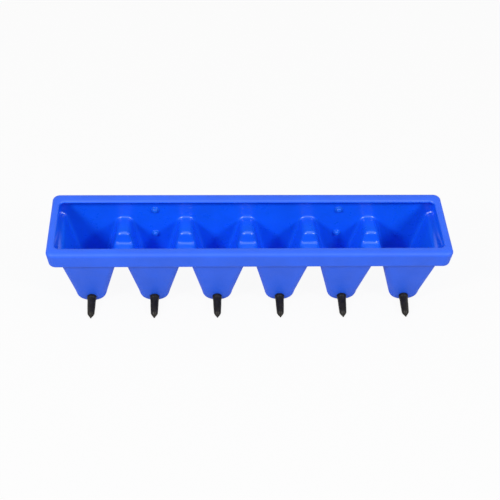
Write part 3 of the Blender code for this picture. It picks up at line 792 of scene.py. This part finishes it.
def make_teats(rubber, valve_plastic, ball_plastic):
    """A teat with its valve and ball in each cup. The teat rises a little towards its tip."""
    teat_mesh = turned_mesh("teat", teat_profile())
    for vert in teat_mesh.vertices:
        vert.co.y += TEAT_RISE * max(0, vert.co.z / TEAT_BODY_LENGTH) ** 2
    valve_mesh = turned_mesh("valve", valve_profile())
    kinds = (
        ("rubber_teat", "teat", teat_mesh, rubber, "black_rubber"),
        ("valve_cage", "valve_body", valve_mesh, valve_plastic, "white_plastic"),
        ("check_ball", "valve_ball", make_ball_mesh(), ball_plastic, "ball_plastic"),
    )
    for index in range(CUP_COUNT):
        number = index + 1
        for name, node, mesh, material, slot in kinds:
            body = f"ball_{number}" if node == "valve_ball" else BODY
            new_piece(f"{name}_{number}", on_front(mesh, index), material, body, [f"{node}_{number}"])


def bolt_profile():
    """Threaded end, shank and seat down to the side and the rounded end of the head."""
    head_end = HEAD_FACE - BOLT_HEAD_HEIGHT
    end = WALL + BRACKET_THICKNESS + 3 * SEAT_GAP + WASHER_THICKNESS + NUT_THICKNESS + BOLT_TAIL
    turns = int((end - WALL) / THREAD_PITCH) - 1
    thread = []
    for i in range(turns):
        level = end - THREAD_DEPTH - i * THREAD_PITCH
        thread.append((BOLT_RADIUS, level - THREAD_PITCH * THREAD_CREST))
        thread.append((BOLT_RADIUS - THREAD_DEPTH, level - THREAD_PITCH * THREAD_ROOT))
    return [
        (0, end),
        (BOLT_RADIUS - THREAD_DEPTH, end),
        *thread,
        (BOLT_RADIUS, end - THREAD_DEPTH - turns * THREAD_PITCH),
        (BOLT_RADIUS, HEAD_FACE),
        (BOLT_HEAD_RADIUS - BOLT_HEAD_CHAMFER, HEAD_FACE),
        (BOLT_HEAD_RADIUS, HEAD_FACE - BOLT_HEAD_CHAMFER),
        *bottom_edge(BOLT_HEAD_RADIUS - BOLT_HEAD_TAPER, head_end, BOLT_HEAD_ROUNDING, steps=8),
        (0, head_end - BOLT_HEAD_CROWN),
    ]


def ring_profile(outer, low, high, edge):
    """Washer on the bolt, with rounded outer edges."""
    return [
        (BOLT_HOLE_RADIUS, high),
        *top_edge(outer, high, edge),
        *bottom_edge(outer, low, edge),
        (BOLT_HOLE_RADIUS, low),
    ]


def make_nut_mesh(low):
    """Hexagon nut with chamfered corners and an open thread."""
    bm = bmesh.new()

    def ring(share, limit):
        """Points around the nut at a share of its height, no further out than a limit."""
        points = []
        for i in range(TURNED_STEPS):
            angle = 2 * pi * i / TURNED_STEPS
            flat = NUT_ACROSS_FLATS / 2 / cos(angle % (pi / 3) - pi / 6)
            reach = min(flat, limit)
            level = low + share * NUT_THICKNESS
            points.append(bm.verts.new((reach * sin(angle), reach * cos(angle), level)))
        return points

    corner = NUT_ACROSS_FLATS / 2 / cos(pi / 6)
    loop = [
        ring(0, BOLT_HOLE_RADIUS),
        ring(0, corner * NUT_CHAMFER_WIDTH),
        ring(NUT_CHAMFER_HEIGHT, corner),
        ring(1 - NUT_CHAMFER_HEIGHT, corner),
        ring(1, corner * NUT_CHAMFER_WIDTH),
        ring(1, BOLT_HOLE_RADIUS),
    ]
    for lower, upper in zip(loop, loop[1:] + loop[:1]):
        for i in range(TURNED_STEPS):
            j = (i + 1) % TURNED_STEPS
            bm.faces.new((lower[i], lower[j], upper[j], upper[i]))
    bmesh.ops.recalc_face_normals(bm, faces=bm.faces)
    return smooth(finished(bm, "nut"), angle=25)


def paint_head(mesh, paint):
    """Gives the bolt's head, in front of the seal ring, its own finish."""
    mesh.materials.append(paint)
    head = TROUGH_LOW.y + BACK_INSIDE + HEAD_FACE + SEAT_GAP / 3
    for face in mesh.polygons:
        if face.center.y < head:
            face.material_index = 1


def make_fasteners(steel, paint):
    """Two bolts in each bracket, with a seal ring and the head inside and a washer and nut outside."""
    washer_face = WALL + BRACKET_THICKNESS + 2 * SEAT_GAP
    washer_end = washer_face + WASHER_THICKNESS
    seal = ring_profile(SEAL_RADIUS, HEAD_FACE + SEAT_GAP, -SEAT_GAP, SEAL_EDGE_RADIUS)
    washer = ring_profile(WASHER_RADIUS, washer_face, washer_end, WASHER_EDGE_RADIUS)
    kinds = (
        ("domed_bolt", "bracket_bolt", turned_mesh("bolt", bolt_profile()), steel, "zinc_steel"),
        # The seal ring's lighter blue is a painted highlight
        ("seal_ring", "seal_washer", turned_mesh("seal", seal), paint, "blue_plastic"),
        ("flat_washer", "plain_washer", turned_mesh("washer", washer), steel, "zinc_steel"),
        ("hex_nut", "hexagon_nut", make_nut_mesh(washer_end + SEAT_GAP), steel, "zinc_steel"),
    )
    for index, (cup, depth) in enumerate(product(BOLT_CUPS, (UPPER_BOLT_DEPTH, LOWER_BOLT_DEPTH))):
        number = index + 1
        for name, node, mesh, material, slot in kinds:
            placed = on_back(mesh, cup, depth)
            new_piece(f"{name}_{number}", placed, material, BODY, [f"{node}_{number}"])
            if name == "domed_bolt":
                paint_head(placed, paint)


def hook_line():
    """Outline of a hook from the side, as Y and depth, with a round bend over its leg."""
    middle = PLATE_FRONT + BRACKET_THICKNESS / 2
    leg = PLATE_FRONT + BRACKET_THICKNESS + HOOK_THROAT
    foot = HOOK_DEPTH + BRACKET_THICKNESS + HOOK_DROP
    bend = (leg + BRACKET_THICKNESS - HOOK_BEND_RADIUS, HOOK_DEPTH + HOOK_BEND_RADIUS)
    return [
        (middle, HOOK_DEPTH),
        (middle, HOOK_DEPTH + BRACKET_THICKNESS),
        *arc(bend, HOOK_BEND_RADIUS - BRACKET_THICKNESS, -90, 0, 8),
        (leg, foot),
        (leg + BRACKET_THICKNESS, foot),
        *arc(bend, HOOK_BEND_RADIUS, 0, -90, 8),
    ]


def make_hook_mesh(left):
    """Hook from its left side to its right, as wide as the plate."""
    bm = bmesh.new()
    face = bm.faces.new([bm.verts.new(in_frame(left, y, depth)) for y, depth in hook_line()])
    pushed = bmesh.ops.extrude_face_region(bm, geom=[face])["geom"]
    pushed = [item for item in pushed if isinstance(item, bmesh.types.BMVert)]
    bmesh.ops.translate(bm, verts=pushed, vec=(BRACKET_WIDTH, 0, 0))
    bmesh.ops.recalc_face_normals(bm, faces=bm.faces)
    return smooth(finished(bm, "hook"), angle=30)


def make_plate_mesh(cup):
    """Plate on the back wall, with rounded corners."""
    height = LOWER_BOLT_DEPTH - UPPER_BOLT_DEPTH + 2 * BRACKET_END_MARGIN
    middle = (UPPER_BOLT_DEPTH + LOWER_BOLT_DEPTH) / 2
    bm = bmesh.new()
    bmesh.ops.create_cube(bm, size=1)
    bmesh.ops.scale(bm, verts=bm.verts, vec=(BRACKET_WIDTH, BRACKET_THICKNESS, height))
    corners = [edge for edge in bm.edges if edge.verts[0].co.y != edge.verts[1].co.y]
    bmesh.ops.bevel(
        bm, geom=corners, offset=BRACKET_CORNER_RADIUS, segments=6, profile=0.5, affect="EDGES"
    )
    centre = in_frame(cup_centre(cup), PLATE_FRONT + BRACKET_THICKNESS / 2, middle)
    bmesh.ops.translate(bm, verts=bm.verts, vec=centre)
    return smooth(finished(bm, "plate"), angle=30)


def soften(item):
    """Small bevel on the sharp edges."""
    bevel = item.modifiers.new("edges", "BEVEL")
    bevel.width = BRACKET_EDGE_BEVEL
    bevel.segments = 2
    bevel.limit_method = "ANGLE"
    bevel.angle_limit = radians(40)
    bevel.harden_normals = False


def make_brackets(steel):
    """Two plates on the back wall, each with a hook."""
    for side, cup in zip(("left", "right"), BOLT_CUPS):
        node = f"hanging_bracket_{side}"
        soften(new_piece(f"bracket_{side}", make_plate_mesh(cup), steel, BODY, [node]))
        hook_mesh = make_hook_mesh(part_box(node)[0].x)
        hook_mesh.materials.append(steel)
        hook = link(bpy.data.objects.new(f"hook_{side}", hook_mesh))
        soften(hook)
        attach(hook, BODY)


# Camera, floor and light


def make_camera():
    camera = link(bpy.data.objects.new("camera", bpy.data.cameras.new("camera")))
    flat = cos(CAMERA_PITCH)
    forward = Vector((sin(CAMERA_YAW) * flat, cos(CAMERA_YAW) * flat, -sin(CAMERA_PITCH)))
    level = Vector((cos(CAMERA_YAW), -sin(CAMERA_YAW), 0))
    upright = level.cross(forward)
    right = level * cos(CAMERA_ROLL) + upright * sin(CAMERA_ROLL)
    up = upright * cos(CAMERA_ROLL) - level * sin(CAMERA_ROLL)
    turn = Matrix((right, up, -forward)).transposed().to_4x4()
    camera.matrix_world = Matrix.Translation(in_frame(*CAMERA_PLACE)) @ turn
    camera.data.lens = CAMERA_LENS
    camera.data.sensor_width = SENSOR_WIDTH
    camera.data.shift_x = CAMERA_SHIFT
    camera.data.clip_end = CAMERA_CLIP_END
    bpy.context.scene.camera = camera


def seen_straight(owner):
    """1 where the camera, a reflection or glass shows a surface, and 0 where it lights other things."""
    rays = add_node(owner, "ShaderNodeLightPath")
    through = add_node(owner, "ShaderNodeMath", operation="MAXIMUM")
    wire(owner, rays.outputs["Is Glossy Ray"], through.inputs[0])
    wire(owner, rays.outputs["Is Transmission Ray"], through.inputs[1])
    straight = add_node(owner, "ShaderNodeMath", operation="MAXIMUM")
    wire(owner, rays.outputs["Is Camera Ray"], straight.inputs[0])
    wire(owner, through.outputs[0], straight.inputs[1])
    return straight.outputs[0]


def make_floor():
    """Pale floor that looks white to the camera and keeps the shadow."""
    mesh = bpy.data.meshes.new("floor")
    signs = ((-1, -1), (1, -1), (1, 1), (-1, 1))
    mesh.from_pydata([(x * FLOOR_REACH, y * FLOOR_REACH, 0) for x, y in signs], [], [(0, 1, 2, 3)])
    floor = link(bpy.data.objects.new("floor", mesh))
    material, shader = new_material("floor", FLOOR_COLOUR, roughness=0.9)
    mesh.materials.append(material)
    white = add_node(material, "ShaderNodeEmission", color=(1, 1, 1, 1), strength=1.0)
    share = add_node(material, "ShaderNodeMath", operation="MULTIPLY")
    share.inputs[1].default_value = FLOOR_WHITE
    wire(material, seen_straight(material), share.inputs[0])
    mix = add_node(material, "ShaderNodeMixShader")
    wire(material, share.outputs[0], mix.inputs["Fac"])
    wire(material, shader.outputs["BSDF"], mix.inputs[1])
    wire(material, white.outputs["Emission"], mix.inputs[2])
    output = material.node_tree.nodes["Material Output"]
    wire(material, mix.outputs["Shader"], output.inputs["Surface"])


def make_world():
    """White to the camera and in reflections, and a soft even light on the object."""
    world = bpy.data.worlds.new("studio")
    world.use_nodes = True
    bpy.context.scene.world = world
    background = world.node_tree.nodes["Background"]
    background.inputs["Color"].default_value = (1, 1, 1, 1)
    level = spread(world, seen_straight(world), WORLD_LIGHT, 1.0, start=0, end=1)
    wire(world, level, background.inputs["Strength"])


def make_lights():
    for name, place, size, power in LIGHTS:
        lamp = bpy.data.lights.new(name, "AREA")
        lamp.shape = "DISK"
        lamp.size = size
        lamp.energy = power
        item = link(bpy.data.objects.new(name, lamp))
        item.location = place
        item.rotation_euler = (Vector(LIGHT_TARGET) - Vector(place)).to_track_quat("-Z", "Y").to_euler()


def main():
    bpy.context.scene.view_settings.view_transform = "Standard"
    make_camera()
    make_world()
    make_lights()
    make_floor()
    steel = zinc_steel()
    valve_plastic = plain_plastic("white_plastic", VALVE_COLOUR, roughness=0.35)
    ball_plastic = plain_plastic("ball_plastic", BALL_COLOUR, roughness=0.30)
    make_trough(moulded_plastic())
    make_teats(black_rubber(), valve_plastic, ball_plastic)
    make_fasteners(steel, lacquer_and_ring_highlight())
    make_brackets(steel)


main()
